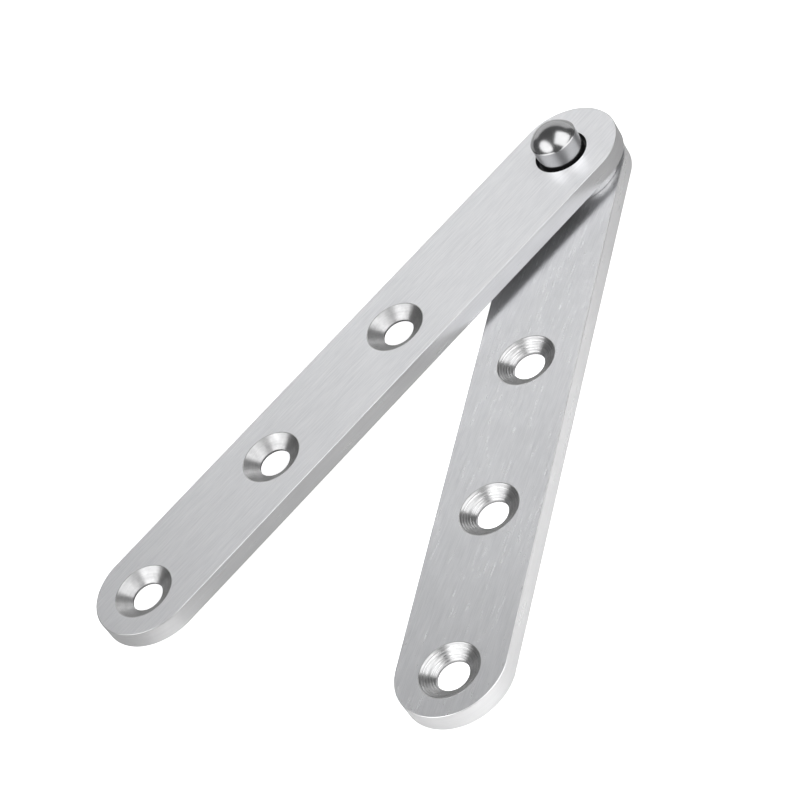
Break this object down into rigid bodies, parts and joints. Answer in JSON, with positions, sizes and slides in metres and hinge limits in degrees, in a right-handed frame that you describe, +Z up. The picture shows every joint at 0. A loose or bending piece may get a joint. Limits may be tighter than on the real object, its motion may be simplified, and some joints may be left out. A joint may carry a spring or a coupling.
{
  "type": "pivot hinge",
  "caption": "Flat two-leaf pivot hinge: a pinned lower leaf and an upper leaf that turns on the pin over a spacer washer and lifts off.",
  "frame": {"origin": "on the pin's axis, at the underside of the lower leaf", "axes": "+X along the lower leaf away from the pin, +Z up the pin; the upper leaf stands open 34 degrees clockwise from +X, seen from above"},
  "size_m": [0.1285, 0.0807, 0.0148],
  "materials": {
    "brushed_leaf": "satin, brushed along the leaf",
    "polished_pin": "mirror polished",
    "washer": "turned, bright"
  },
  "bodies": {
    "root": {"lower_leaf": "brushed_leaf", "pivot_pin": "polished_pin"},
    "washer": {"spacer_washer": "washer"},
    "upper": {"upper_leaf": "brushed_leaf"}
  },
  "joints": [
    {"name": "swivel", "type": "hinge", "parent": "root", "child": "washer", "pos_m": [0, 0, 0], "axis": [0, 0, 1], "continuous": true},
    {"name": "lift_off", "type": "slide", "parent": "washer", "child": "upper", "axis": [0, 0, 1], "range_m": [0, 0.012]}
  ]
}
